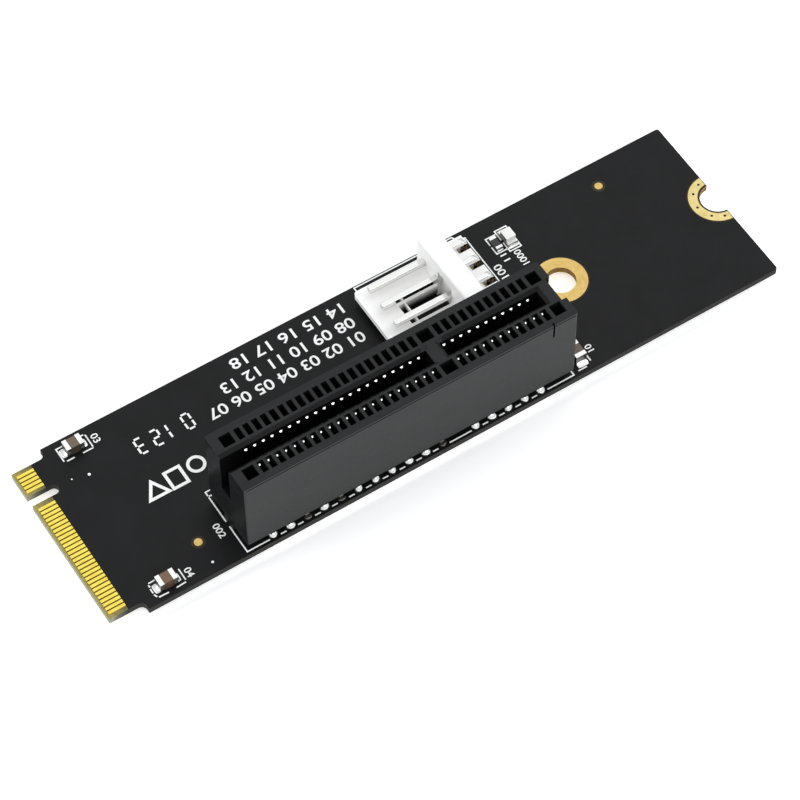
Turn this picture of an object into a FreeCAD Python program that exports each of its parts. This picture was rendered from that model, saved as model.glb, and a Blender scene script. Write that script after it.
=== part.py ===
import FreeCAD, Part
import os
import Sketcher
from FreeCAD import Placement, Rotation, Vector

# Gumstick card to expansion slot riser: a keyed circuit board with an open-ended
# four-lane slot, a right-angle power header and a few chip parts.
# Millimetres. X runs from the card-edge tip to the far screw notch, Y across the
# board, Z up from the board's top face. The origin is the middle of the tip.

doc = FreeCAD.newDocument("riser_card")
sheet = doc.addObject("Spreadsheet::Sheet", "Sizes")

SIZES = [
    # Circuit board
    ("board_length", 80.0),
    ("board_thickness", 0.8),
    ("tongue_length", 3.9),
    ("tongue_margin", 0.5),
    ("shoulder_width", 1.075),
    ("shoulder_radius", 0.65),
    ("corner_radius", 0.3),
    ("foil_thickness", 0.05),
    # Card-edge contacts and key notch
    ("finger_pitch", 0.5),
    ("finger_width", 0.35),
    ("finger_length", 1.92),
    ("finger_inset", 0.28),
    ("long_row_fingers", 29),
    ("top_short_row_fingers", 5),
    ("key_skipped_fingers", 4),
    ("key_width", 1.2),
    ("key_depth", 3.3),
    # Screw hole and end notch
    ("screw_hole_x", 60.0),
    ("screw_hole_radius", 1.65),
    ("screw_pad_radius", 2.88),
    ("end_notch_radius", 1.85),
    ("end_pad_radius", 3.1),
    ("end_pad_inset", 0.1),
    ("via_radius", 0.16),
    ("inner_via_angle", 42.0),
    ("outer_via_angle", 74.0),
    # Fiducial marks
    ("fiducial_radius", 0.45),
    ("front_fiducial_x", 11.85),
    ("front_fiducial_y", -7.03),
    ("rear_fiducial_x", 70.25),
    ("rear_fiducial_y", 8.03),
    # Expansion slot: the place is that of the first contact on the slot's centre line
    ("slot_x", 18.6),
    ("slot_y", -6.88),
    ("contact_pitch", 1.0),
    ("long_row_contacts", 21),
    ("short_row_contacts", 11),
    ("contact_key_gap", 3.0),
    ("slot_open_end", 3.1),
    ("slot_closed_end", 2.9),
    ("slot_height", 11.25),
    ("slot_floor_height", 2.8),
    ("slot_sill_height", 5.6),
    ("slot_sill_wall", 1.2),
    ("card_gap", 1.75),
    ("card_end_clearance", 0.95),
    ("lead_in", 0.4),
    ("lip_width", 0.65),
    ("lip_height", 1.05),
    ("cavity_width", 0.65),
    ("cavity_depth", 1.4),
    ("side_wall", 0.825),
    ("key_bridge_width", 1.6),
    ("core_pocket_depth", 6.0),
    ("end_core_length", 1.3),
    ("end_core_gap", 0.75),
    ("key_core_length", 1.5),
    ("foot_gap", 1.1),
    ("foot_rib_width", 1.7),
    ("end_recess_depth", 0.55),
    ("end_recess_width", 3.1),
    ("groove_drop", 0.22),
    ("groove_height", 0.14),
    ("groove_depth", 0.2),
    ("groove_end_gap", 0.3),
    ("slit_width", 0.22),
    ("slit_length", 2.1),
    ("slit_depth", 0.35),
    ("edge_round", 0.25),
    ("peg_radius", 1.1),
    ("peg_clearance", 0.08),
    ("peg_length", 1.2),
    ("peg_open_end_gap", 1.75),
    # Slot contacts
    ("contact_width", 0.4),
    ("contact_thickness", 0.22),
    ("contact_tip_drop", 1.5),
    ("contact_tip_inset", 0.2),
    ("contact_apex_drop", 2.7),
    ("contact_reach", 0.05),
    ("inner_tail_row", 1.25),
    ("outer_tail_row", 3.25),
    ("tail_length", 1.0),
    ("tail_bend_height", 0.3),
    ("tail_clearance", 0.1),
    # Power header: the place is the middle of the pin tails
    ("header_x", 53.18),
    ("header_y", 4.25),
    ("pin_pitch", 2.5),
    ("pin_count", 4),
    ("pin_side", 0.64),
    ("pin_height", 2.92),
    ("pin_bend_radius", 0.36),
    ("pin_clearance", 0.02),
    ("pin_hole_clearance", 0.15),
    ("pin_pad_ring", 0.35),
    ("header_side_margin", 1.3),
    ("header_floor_height", 1.75),
    ("header_floor_thickness", 0.7),
    ("header_floor_reach", 7.88),
    ("header_wall_thickness", 2.4),
    ("header_wall_height", 5.7),
    ("header_wall_setback", 2.68),
    ("header_comb_reach", 0.35),
    ("header_comb_foot", 0.43),
    ("header_comb_depth", 1.43),
    ("header_comb_height", 2.05),
    ("header_comb_lift", 0.4),
    ("header_comb_groove", 1.3),
    ("header_corner_radius", 0.45),
    ("header_wall_round", 0.35),
    ("pin_reach", 6.9),
    ("pin_tip_chamfer", 0.16),
    ("floor_window_width", 2.62),
    ("floor_window_length", 4.8),
    ("floor_window_offset", -0.21),
    ("floor_window_bridge", 0.16),
    ("floor_window_short", 0.7),
    ("window_rib_depth", 0.52),
    ("window_rib_width", 0.6),
    ("latch_recess_depth", 0.5),
    ("latch_recess_height", 4.2),
    # Chip capacitors
    ("capacitor_length", 2.0),
    ("capacitor_width", 1.3),
    ("capacitor_height", 1.25),
    ("capacitor_band", 0.5),
    ("edge_capacitor_x", 6.85),
    ("rear_capacitor_y", 9.3),
    ("front_capacitor_y", -9.4),
    ("slot_capacitor_x", 56.0),
    ("slot_capacitor_y", -8.7),
    # Chip resistor and light-emitting diode
    ("resistor_length", 1.6),
    ("resistor_width", 0.8),
    ("resistor_height", 0.45),
    ("resistor_band", 0.32),
    ("resistor_coat", 0.04),
    ("resistor_x", 56.8),
    ("diode_length", 2.0),
    ("diode_width", 1.25),
    ("diode_base_height", 0.45),
    ("diode_lens_height", 0.6),
    ("diode_band", 0.35),
    ("diode_x", 58.3),
    ("small_chips_y", 7.5),
    ("terminal_plating", 0.03),
]

for row, (name, number) in enumerate(SIZES, start=1):
    sheet.set(f"A{row}", name)
    sheet.set(f"B{row}", str(number))
    sheet.setAlias(f"B{row}", name)
doc.recompute()


def cells(text):
    """The expression with each size name led to its cell of the sheet."""
    words = text.replace("(", "( ").replace(")", " )").split()
    names = {name for name, number in SIZES}
    return " ".join(f"Sizes.{word}" if word in names else word for word in words)


def value(text):
    return float(sheet.evalExpression(cells(text)))


def bind(item, prop, text):
    item.setExpression(prop, cells(text))


def new_body(name, x="0", y="0", z="0"):
    body = doc.addObject("PartDesign::Body", name)
    body.Label = name
    for axis, text in (("x", x), ("y", y), ("z", z)):
        bind(body, f"Placement.Base.{axis}", text)
    return body


def datum(body, role):
    return next(item for item in body.Origin.OriginFeatures if item.Role == role)


def new_sketch(body, name, role="XY_Plane", offset="0"):
    sketch = body.newObject("Sketcher::SketchObject", name)
    sketch.AttachmentSupport = [(datum(body, role), "")]
    sketch.MapMode = "FlatFace"
    bind(sketch, "AttachmentOffset.Base.z", offset)
    return sketch


def pin_point(sketch, shape, vertex, x, y):
    """Ties one point of the sketch to a pair of expressions."""
    for kind, text in (("DistanceX", x), ("DistanceY", y)):
        rule = sketch.addConstraint(Sketcher.Constraint(kind, -1, 1, shape, vertex, value(text)))
        bind(sketch, f"Constraints[{rule}]", text)


def polygon(sketch, corners):
    """Closed outline whose corners are pairs of expressions."""
    first = sketch.GeometryCount
    count = len(corners)
    spots = [Vector(value(x), value(y), 0) for x, y in corners]
    for k in range(count):
        sketch.addGeometry(Part.LineSegment(spots[k], spots[(k + 1) % count]), False)
    for k in range(count):
        ends = (first + k, 2, first + (k + 1) % count, 1)
        sketch.addConstraint(Sketcher.Constraint("Coincident", *ends))
    for k, (x, y) in enumerate(corners):
        pin_point(sketch, first + k, 1, x, y)


def rectangle(sketch, left, right, low, high):
    polygon(sketch, [(left, low), (right, low), (right, high), (left, high)])


def circle(sketch, x, y, radius):
    spot = Vector(value(x), value(y), 0)
    shape = sketch.addGeometry(Part.Circle(spot, Vector(0, 0, 1), value(radius)), False)
    pin_point(sketch, shape, 3, x, y)
    rule = sketch.addConstraint(Sketcher.Constraint("Radius", shape, value(radius)))
    bind(sketch, f"Constraints[{rule}]", radius)


def many_sided(sketch, x, y, radius, sides):
    """Small hole drawn as a regular polygon, its corners on the circle of that radius."""
    turns = [f"( {360 * k / sides} * 1deg )" for k in range(sides)]
    polygon(sketch, [(f"{x} + {radius} * cos( {turn} )", f"{y} + {radius} * sin( {turn} )")
                     for turn in turns])


def pad(body, sketch, length, reverse=False, middle=False):
    feature = body.newObject("PartDesign::Pad", sketch.Name + "_pad")
    feature.Profile = sketch
    bind(feature, "Length", length)
    feature.Reversed = reverse
    feature.Midplane = middle
    doc.recompute()
    return feature


def pocket(body, sketch, length, reverse=False, middle=False):
    """Cuts the sketch out of the body, and makes sure that something was cut."""
    before = body.Shape.Volume
    feature = body.newObject("PartDesign::Pocket", sketch.Name + "_cut")
    feature.Profile = sketch
    bind(feature, "Length", length)
    feature.Reversed = reverse
    feature.Midplane = middle
    doc.recompute()
    if not body.Shape.Volume < before:
        raise RuntimeError(f"{sketch.Name} cuts nothing")
    return feature


def pattern(body, feature, role, length, count):
    """Repeats a feature along one axis of its body."""
    row = body.newObject("PartDesign::LinearPattern", feature.Name + "_row")
    row.Originals = [feature]
    row.Direction = (datum(body, role), [""])
    bind(row, "Length", length)
    bind(row, "Occurrences", count)
    body.Tip = row
    doc.recompute()
    return row


def edges_where(shape, test):
    """Names of the edges whose middle point passes the test."""
    names = []
    for k, edge in enumerate(shape.Edges, start=1):
        middle = edge.valueAt((edge.FirstParameter + edge.LastParameter) / 2)
        if test(edge, middle):
            names.append(f"Edge{k}")
    return names


def near(a, b):
    return abs(a - b) < 1e-5


def upright(edge):
    return near(abs(edge.tangentAt(edge.FirstParameter).z), 1.0)


def dress(body, kind, name, size, test):
    """Rounds or bevels the edges of the body that pass the test."""
    base = body.Tip
    feature = body.newObject(f"PartDesign::{kind}", name)
    feature.Base = (base, edges_where(base.Shape, test))
    bind(feature, "Radius" if kind == "Fillet" else "Size", size)
    doc.recompute()


# Card-edge contacts: both rows of a side share one pitch grid, and the key takes
# the place of a few positions between them.
GRID = "( long_row_fingers + key_skipped_fingers + top_short_row_fingers - 1 )"
FIRST_FINGER = f"( - {GRID} * finger_pitch / 2 )"
SHORT_ROW_SHIFT = "( ( long_row_fingers + key_skipped_fingers ) * finger_pitch )"
HALF_TONGUE = f"( {GRID} * finger_pitch / 2 + finger_width / 2 + tongue_margin )"
HALF_BOARD = f"( {HALF_TONGUE} + shoulder_width )"
KEY_Y = (f"( {FIRST_FINGER} + ( long_row_fingers + key_skipped_fingers / 2 - 0.25 )"
         " * finger_pitch )")

# Slot, counted from its first contact
LONG_SPAN = "( ( long_row_contacts - 1 ) * contact_pitch )"
SHORT_START = f"( {LONG_SPAN} + contact_key_gap )"
CONTACT_SPAN = f"( {SHORT_START} + ( short_row_contacts - 1 ) * contact_pitch )"
SLOT_LEFT = "( - slot_open_end )"
SLOT_RIGHT = f"( {CONTACT_SPAN} + slot_closed_end )"
KEY_MIDDLE = f"( {LONG_SPAN} + contact_key_gap / 2 )"
CAVITY_INNER = "( card_gap / 2 + lip_width )"
CAVITY_OUTER = f"( {CAVITY_INNER} + cavity_depth )"
HALF_SLOT = f"( {CAVITY_OUTER} + side_wall )"
PEG_X = "( peg_open_end_gap - slot_open_end )"
STAGGER = "( 2 * contact_pitch )"

# Tails alternate between the two rows: start and number for the long and short runs
TAIL_RUNS = {
    "outer": (("0", "floor( ( long_row_contacts + 1 ) / 2 )"),
              (f"( {SHORT_START} + contact_pitch )", "floor( short_row_contacts / 2 )")),
    "inner": (("contact_pitch", "floor( long_row_contacts / 2 )"),
              (SHORT_START, "floor( ( short_row_contacts + 1 ) / 2 )")),
}

# Header, counted from the middle of its pin tails
PIN_SPAN = "( ( pin_count - 1 ) * pin_pitch )"
FIRST_PIN = f"( - {PIN_SPAN} / 2 )"
HALF_HEADER = f"( {PIN_SPAN} / 2 + header_side_margin )"
WALL_BACK = "( - header_wall_setback )"
WALL_FRONT = f"( {WALL_BACK} - header_wall_thickness )"
FLOOR_FRONT = f"( {WALL_FRONT} - header_floor_reach )"
COMB_END = "( header_comb_reach )"
PIN_HOLE_RADIUS = "( pin_side / 2 * sqrt( 2 ) + pin_hole_clearance )"
PIN_PAD_RADIUS = f"( {PIN_HOLE_RADIUS} + pin_pad_ring )"

# Sides of small round forms
VIA_SIDES = 6
PIN_HOLE_SIDES = 12
PEG_SIDES = 12
DOT_SIDES = 12


def make_board():
    body = new_body("circuit_board")
    outline = new_sketch(body, "board_outline")
    polygon(outline, [
        ("0", f"- {HALF_TONGUE}"), ("tongue_length", f"- {HALF_TONGUE}"),
        ("tongue_length", f"- {HALF_BOARD}"), ("board_length", f"- {HALF_BOARD}"),
        ("board_length", HALF_BOARD), ("tongue_length", HALF_BOARD),
        ("tongue_length", HALF_TONGUE), ("0", HALF_TONGUE),
    ])
    pad(body, outline, "board_thickness", reverse=True)

    shoulder, tongue = value("tongue_length"), value(HALF_TONGUE)
    dress(body, "Fillet", "shoulder_notches", "shoulder_radius",
           lambda edge, at: upright(edge) and near(at.x, shoulder) and near(abs(at.y), tongue))
    end, side = value("board_length"), value(HALF_BOARD)
    dress(body, "Fillet", "end_corners", "corner_radius",
           lambda edge, at: upright(edge) and near(at.x, end) and near(abs(at.y), side))

    key_round = "( key_depth - key_width / 2 )"
    key = new_sketch(body, "key_notch")
    rectangle(key, "- key_width", key_round,
              f"{KEY_Y} - key_width / 2", f"{KEY_Y} + key_width / 2")
    pocket(body, key, "board_thickness")
    key_end = new_sketch(body, "key_end")
    circle(key_end, key_round, KEY_Y, "key_width / 2")
    pocket(body, key_end, "board_thickness")

    screws = new_sketch(body, "screw_holes")
    circle(screws, "screw_hole_x", "0", "screw_hole_radius")
    circle(screws, "board_length", "0", "end_notch_radius")
    pocket(body, screws, "board_thickness")

    pegs = new_sketch(body, "peg_holes")
    for x in (PEG_X, KEY_MIDDLE):
        many_sided(pegs, f"slot_x + {x}", "slot_y", "( peg_radius + peg_clearance )", PEG_SIDES)
    pocket(body, pegs, "board_thickness")

    pins = new_sketch(body, "pin_holes")
    many_sided(pins, "header_x", f"header_y + {FIRST_PIN}", PIN_HOLE_RADIUS, PIN_HOLE_SIDES)
    pattern(body, pocket(body, pins, "board_thickness"), "Y_Axis", PIN_SPAN, "pin_count")

    for row, runs in TAIL_RUNS.items():
        for run, (start, count) in zip(("long", "short"), runs):
            tails = new_sketch(body, f"tail_holes_{row}_{run}")
            half_x = "( contact_width / 2 + tail_clearance )"
            half_y = "( contact_thickness / 2 + tail_clearance )"
            for sign in ("-", "+"):
                x, y = f"slot_x + {start}", f"slot_y {sign} {row}_tail_row"
                rectangle(tails, f"{x} - {half_x}", f"{x} + {half_x}",
                          f"{y} - {half_y}", f"{y} + {half_y}")
            pattern(body, pocket(body, tails, "board_thickness"), "X_Axis",
                    f"( {count} - 1 ) * {STAGGER}", count)
    return body


def make_finger_row(name, face, start, count):
    """One run of flat gold contacts on the top or the bottom of the tongue."""
    seat = "0" if face == "top" else "- board_thickness"
    body = new_body(name, "0", start, seat)
    outline = new_sketch(body, f"{name}_outline")
    rectangle(outline, "finger_inset", "finger_inset + finger_length",
              "- finger_width / 2", "finger_width / 2")
    first = pad(body, outline, "foil_thickness", reverse=face == "bottom")
    pattern(body, first, "Y_Axis", f"( {count} - 1 ) * finger_pitch", count)
    return body


def make_fingers():
    half_step = "finger_pitch / 2"
    bottom_short = "( top_short_row_fingers - 1 )"
    return [
        make_finger_row("edge_contacts_top_long", "top", FIRST_FINGER, "long_row_fingers"),
        make_finger_row("edge_contacts_top_short", "top", f"{FIRST_FINGER} + {SHORT_ROW_SHIFT}",
                        "top_short_row_fingers"),
        make_finger_row("edge_contacts_bottom_long", "bottom", f"{FIRST_FINGER} + {half_step}",
                        "long_row_fingers"),
        make_finger_row("edge_contacts_bottom_short", "bottom",
                        f"{FIRST_FINGER} + {half_step} + {SHORT_ROW_SHIFT}", bottom_short),
    ]


def make_screw_pad(name, face):
    """Gold ring round the screw hole on one face of the board."""
    seat = "0" if face == "top" else "- board_thickness"
    body = new_body(name, "screw_hole_x", "0", seat)
    ring = new_sketch(body, f"{name}_ring")
    circle(ring, "0", "0", "screw_pad_radius")
    circle(ring, "0", "0", "screw_hole_radius")
    pad(body, ring, "foil_thickness", reverse=face == "bottom")
    return body


def make_end_pad(name, face):
    """Half ring of gold round the end notch, with its stitching vias."""
    seat = "0" if face == "top" else "- board_thickness"
    down = face == "bottom"
    body = new_body(name, "board_length", "0", seat)
    ring = new_sketch(body, f"{name}_ring")
    circle(ring, "0", "0", "end_pad_radius")
    circle(ring, "0", "0", "end_notch_radius + end_pad_inset")
    pad(body, ring, "foil_thickness", reverse=down)
    half = new_sketch(body, f"{name}_board_end")
    rectangle(half, "- end_pad_inset", "end_pad_radius * 2",
              "- end_pad_radius * 2", "end_pad_radius * 2")
    pocket(body, half, "foil_thickness", reverse=not down)
    vias = new_sketch(body, f"{name}_vias")
    middle = "( ( end_notch_radius + end_pad_inset + end_pad_radius ) / 2 )"
    for turn in ("0", "inner_via_angle", "- inner_via_angle", "outer_via_angle",
                 "- outer_via_angle"):
        angle = f"( {turn} * 1deg )"
        many_sided(vias, f"- {middle} * cos( {angle} )", f"{middle} * sin( {angle} )",
                   "via_radius", VIA_SIDES)
    pocket(body, vias, "foil_thickness", reverse=not down)
    return body


def make_fiducials():
    body = new_body("fiducial_marks")
    dots = new_sketch(body, "fiducial_dots")
    for place in ("front", "rear"):
        many_sided(dots, f"{place}_fiducial_x", f"{place}_fiducial_y", "fiducial_radius",
                   DOT_SIDES)
    pad(body, dots, "foil_thickness")
    return body


def make_slot_moulding():
    body = new_body("slot_moulding", "slot_x", "slot_y")
    half_rib = "( foot_rib_width / 2 )"
    length = f"( {SLOT_RIGHT} - {SLOT_LEFT} )"

    section = new_sketch(body, "slot_section", "YZ_Plane", SLOT_LEFT)
    polygon(section, [
        (f"- {half_rib}", "0"), (half_rib, "0"), (half_rib, "foot_gap"),
        (HALF_SLOT, "foot_gap"), (HALF_SLOT, "slot_height"),
        (f"- {HALF_SLOT}", "slot_height"), (f"- {HALF_SLOT}", "foot_gap"),
        (f"- {half_rib}", "foot_gap"),
    ])
    pad(body, section, length)

    # Upright corners of the moulding
    left, right, side = value(SLOT_LEFT), value(SLOT_RIGHT), value(HALF_SLOT)
    dress(body, "Fillet", "slot_corners", "edge_round",
           lambda edge, at: upright(edge) and near(abs(at.y), side)
           and (near(at.x, left) or near(at.x, right)))

    # Card slot: two runs with the key bridge between them, the long one open at its end
    bridge_left = f"( {KEY_MIDDLE} - key_bridge_width / 2 )"
    bridge_right = f"( {KEY_MIDDLE} + key_bridge_width / 2 )"
    gap = "( card_gap / 2 )"
    runs = new_sketch(body, "card_runs", "XY_Plane", "slot_height")
    rectangle(runs, f"{SLOT_LEFT} + slot_sill_wall", bridge_left, f"- {gap}", gap)
    rectangle(runs, bridge_right, f"{CONTACT_SPAN} + card_end_clearance", f"- {gap}", gap)
    pocket(body, runs, "slot_height - slot_floor_height")
    mouth = new_sketch(body, "open_end", "XY_Plane", "slot_height")
    rectangle(mouth, f"{SLOT_LEFT} - slot_sill_wall", f"{SLOT_LEFT} + slot_sill_wall * 2",
              f"- {gap}", gap)
    pocket(body, mouth, "slot_height - slot_sill_height")

    top, half_gap = value("slot_height"), value(gap)
    dress(body, "Chamfer", "card_lead_in", "lead_in",
            lambda edge, at: near(at.z, top) and abs(at.y) < half_gap + 1e-5
            and left + 1e-5 < at.x < right - 1e-5)

    # Square coring pockets at the ends and beside the key
    cores = new_sketch(body, "core_pockets", "XY_Plane", "slot_height")
    places = (
        ("- end_core_gap - end_core_length", "- end_core_gap"),
        (f"{KEY_MIDDLE} - key_core_length / 2", f"{KEY_MIDDLE} + key_core_length / 2"),
        (f"{CONTACT_SPAN} + end_core_gap", f"{CONTACT_SPAN} + end_core_gap + end_core_length"),
    )
    for core_left, core_right in places:
        rectangle(cores, core_left, core_right, CAVITY_INNER, CAVITY_OUTER)
        rectangle(cores, core_left, core_right, f"- {CAVITY_OUTER}", f"- {CAVITY_INNER}")
    pocket(body, cores, "core_pocket_depth")

    # Recess in the closed end
    recess = new_sketch(body, "end_recess", "XY_Plane", "slot_height")
    rectangle(recess, f"{SLOT_RIGHT} - end_recess_depth", f"{SLOT_RIGHT} + end_recess_depth",
              "- end_recess_width / 2", "end_recess_width / 2")
    pocket(body, recess, "slot_height")

    # Fine groove below the top edge of both long faces, and a slit near the closed end
    grooves = new_sketch(body, "top_grooves", "XY_Plane", "slot_height - groove_drop")
    for low, high in ((f"{HALF_SLOT} - groove_depth", f"{HALF_SLOT} + groove_depth"),
                      (f"- {HALF_SLOT} - groove_depth", f"- {HALF_SLOT} + groove_depth")):
        rectangle(grooves, f"{SLOT_LEFT} + groove_end_gap", f"{SLOT_RIGHT} - groove_end_gap",
                  low, high)
    pocket(body, grooves, "groove_height")
    slit = new_sketch(body, "front_slit", "XY_Plane", "slot_height")
    rectangle(slit, f"{CONTACT_SPAN} - slit_width / 2", f"{CONTACT_SPAN} + slit_width / 2",
              f"- {HALF_SLOT} - slit_depth", f"- {HALF_SLOT} + slit_depth")
    pocket(body, slit, "slit_length")

    # Locating pegs through the board
    pegs = new_sketch(body, "locating_pegs", "XY_Plane", "foot_gap")
    for x in (PEG_X, KEY_MIDDLE):
        many_sided(pegs, x, "0", "peg_radius", PEG_SIDES)
    pad(body, pegs, "foot_gap + peg_length", reverse=True)

    # Contact cavities, open below for the tails and towards the card below the lip
    half_cavity = "( cavity_width / 2 )"
    for run, start, count in (("long", "0", "long_row_contacts"),
                              ("short", SHORT_START, "short_row_contacts")):
        span = f"( {count} - 1 ) * contact_pitch"
        cavity = new_sketch(body, f"cavities_{run}", "XY_Plane", "slot_height")
        for low, high in ((CAVITY_INNER, CAVITY_OUTER),
                          (f"- {CAVITY_OUTER}", f"- {CAVITY_INNER}")):
            rectangle(cavity, f"{start} - {half_cavity}", f"{start} + {half_cavity}", low, high)
        pattern(body, pocket(body, cavity, "slot_height - foot_gap"), "X_Axis", span, count)
        window = new_sketch(body, f"windows_{run}", "XZ_Plane")
        rectangle(window, f"{start} - {half_cavity}", f"{start} + {half_cavity}",
                  "slot_floor_height", "slot_height - lip_height")
        opened = pocket(body, window, f"2 * {CAVITY_INNER}", middle=True)
        pattern(body, opened, "X_Axis", span, count)
    return body


def make_wall_space(name, y):
    """Room over one side of the card gap, above the foot and past the slot's ends."""
    space = doc.addObject("Part::Box", name)
    for prop, text in (
            ("Length", f"{SLOT_RIGHT} - {SLOT_LEFT} + 2 * slot_open_end"),
            ("Width", f"2 * {HALF_SLOT} - card_gap / 2"), ("Height", "slot_height"),
            ("Placement.Base.x", f"slot_x + {SLOT_LEFT} - slot_open_end"),
            ("Placement.Base.y", y), ("Placement.Base.z", "foot_gap")):
        bind(space, prop, text)
    return space


def make_slot_housing():
    """The slot moulding as two contact walls and a middle web that meet face to face."""
    moulding = make_slot_moulding()
    sides = {"front": f"slot_y - 2 * {HALF_SLOT}", "rear": "slot_y + card_gap / 2"}
    spaces = [make_wall_space(f"slot_{side}_space", y) for side, y in sides.items()]
    walls = []
    for side, space in zip(sides, spaces):
        wall = doc.addObject("Part::Common", f"slot_{side}_wall")
        wall.Base = moulding
        wall.Tool = space
        walls.append(wall)
    both = make_group("slot_wall_spaces", spaces)
    web = make_cut("slot_middle_web", moulding, both)
    return make_group("slot_housing", [*walls, web])


def make_contact_row(name, side, row, start, count):
    """One run of bent strip contacts: tail, knee, spring beam and turned-back tip."""
    body = new_body(name, f"slot_x + {start}", "slot_y")
    profile = new_sketch(body, f"{name}_profile", "YZ_Plane")
    sign = "-" if side == "front" else ""
    thick = "( contact_thickness / 2 )"
    tail = f"{row}_tail_row"
    knee = f"( ( {CAVITY_INNER} + {CAVITY_OUTER} ) / 2 )"
    apex = "( card_gap / 2 - contact_reach )"
    tip = f"( {CAVITY_INNER} - contact_tip_inset )"
    low = "( - board_thickness - tail_length )"
    knee_height = "( foot_gap + contact_thickness )"
    apex_height = "( slot_height - contact_apex_drop )"
    tip_height = "( slot_height - contact_tip_drop )"
    strip = [
        (f"{tail} - {thick}", low), (f"{tail} - {thick}", "tail_bend_height"),
        (f"{knee} - {thick}", knee_height), (apex, apex_height),
        (f"{tip} - {thick} * 2", tip_height), (tip, tip_height),
        (f"{apex} + {thick} * 2", apex_height), (f"{knee} + {thick}", knee_height),
        (f"{tail} + {thick}", "tail_bend_height"), (f"{tail} + {thick}", low),
    ]
    polygon(profile, [(f"{sign} ( {y} )", z) for y, z in strip])
    first = pad(body, profile, "contact_width", middle=True)
    pattern(body, first, "X_Axis", f"( {count} - 1 ) * {STAGGER}", count)
    return body


def make_contacts():
    rows = []
    for side in ("front", "rear"):
        for row, runs in TAIL_RUNS.items():
            for run, (start, count) in zip(("long", "short"), runs):
                name = f"slot_contacts_{side}_{row}_{run}"
                rows.append(make_contact_row(name, side, row, start, count))
    return rows


def make_header_housing():
    body = new_body("power_header_housing", "header_x", "header_y")
    section = new_sketch(body, "header_section", "XZ_Plane")
    comb_foot = f"( - {PIN_PAD_RADIUS} - header_comb_foot )"
    underside = "( header_floor_height - header_floor_thickness )"
    polygon(section, [
        (FLOOR_FRONT, underside), (WALL_FRONT, underside), (WALL_FRONT, "0"),
        (comb_foot, "0"), (comb_foot, "header_comb_lift"),
        (COMB_END, "header_comb_lift"), (COMB_END, "header_comb_height"),
        (WALL_BACK, "header_comb_height"), (WALL_BACK, "header_wall_height"),
        (WALL_FRONT, "header_wall_height"), (WALL_FRONT, "header_floor_height"),
        (FLOOR_FRONT, "header_floor_height"),
    ])
    pad(body, section, f"2 * {HALF_HEADER}", middle=True)

    front, side = value(FLOOR_FRONT), value(HALF_HEADER)
    dress(body, "Fillet", "floor_corners", "header_corner_radius",
           lambda edge, at: upright(edge) and near(at.x, front) and near(abs(at.y), side))
    wall_top = value("header_wall_height")
    dress(body, "Fillet", "wall_top_edges", "header_wall_round",
           lambda edge, at: near(at.z, wall_top) and near(at.y, 0))

    # Comb grooves that let the bent pins down to the board
    groove = new_sketch(body, "comb_groove")
    rectangle(groove, f"{COMB_END} - header_comb_depth", COMB_END,
              f"{FIRST_PIN} - header_comb_groove / 2", f"{FIRST_PIN} + header_comb_groove / 2")
    cut = pocket(body, groove, "header_comb_height", reverse=True)
    pattern(body, cut, "Y_Axis", PIN_SPAN, "pin_count")

    # Square passages for the pins
    passage = new_sketch(body, "pin_passage", "YZ_Plane", WALL_BACK)
    reach = "( pin_side / 2 + pin_clearance )"
    rectangle(passage, f"{FIRST_PIN} - {reach}", f"{FIRST_PIN} + {reach}",
              f"pin_height - {reach}", f"pin_height + {reach}")
    cut = pocket(body, passage, "header_wall_thickness")
    pattern(body, cut, "Y_Axis", PIN_SPAN, "pin_count")

    # Latch window in the floor, with a narrow bridge near its front end
    window = new_sketch(body, "floor_window")
    window_front = f"( {WALL_FRONT} - floor_window_length )"
    window_near = "( floor_window_offset - floor_window_width / 2 )"
    window_far = "( floor_window_offset + floor_window_width / 2 )"
    bridge = f"( {window_front} + floor_window_short )"
    for left, right in ((window_front, bridge), (f"{bridge} + floor_window_bridge", WALL_FRONT)):
        rectangle(window, left, right, window_near, window_far)
    pocket(body, window, "header_floor_height", reverse=True)

    # Rib under the window's far side, and the recess in the wall for the plug's latch
    rib = new_sketch(body, "window_rib", offset=f"{underside} - window_rib_depth")
    rectangle(rib, window_front, WALL_FRONT, window_far, f"{window_far} + window_rib_width")
    pad(body, rib, "window_rib_depth")
    recess = new_sketch(body, "latch_recess")
    rectangle(recess, WALL_FRONT, f"{WALL_FRONT} + latch_recess_depth", window_near, window_far)
    pocket(body, recess, "latch_recess_height", reverse=True)
    return body


def make_header_pins():
    """Square wire bent down behind the header's wall."""
    body = new_body("power_header_pins", "header_x", f"header_y + {FIRST_PIN}")
    bend = new_sketch(body, "pin_profile", "XZ_Plane")
    half = "( pin_side / 2 )"
    tip = f"( {WALL_FRONT} - pin_reach )"
    low = "( - board_thickness - tail_length )"
    polygon(bend, [
        (tip, f"pin_height - {half}"), (f"- {half}", f"pin_height - {half}"),
        (f"- {half}", low), (half, low), (half, f"pin_height + {half}"),
        (tip, f"pin_height + {half}"),
    ])
    pad(body, bend, "pin_side", middle=True)
    reach, height = value(half), value("pin_height")

    def along_y(edge):
        return near(abs(edge.tangentAt(edge.FirstParameter).y), 1.0)

    dress(body, "Fillet", "pin_inner_bend", "pin_bend_radius",
           lambda edge, at: along_y(edge) and near(at.x, -reach) and near(at.z, height - reach))
    dress(body, "Fillet", "pin_outer_bend", "pin_bend_radius + pin_side",
           lambda edge, at: along_y(edge) and near(at.x, reach) and near(at.z, height + reach))
    nose = value(tip)
    dress(body, "Chamfer", "pin_nose", "pin_tip_chamfer", lambda edge, at: near(at.x, nose))
    row = body.newObject("PartDesign::LinearPattern", "pin_row")
    row.TransformMode = "Whole shape"
    row.Direction = (datum(body, "Y_Axis"), [""])
    bind(row, "Length", PIN_SPAN)
    bind(row, "Occurrences", "pin_count")
    body.Tip = row
    doc.recompute()
    return body


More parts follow.
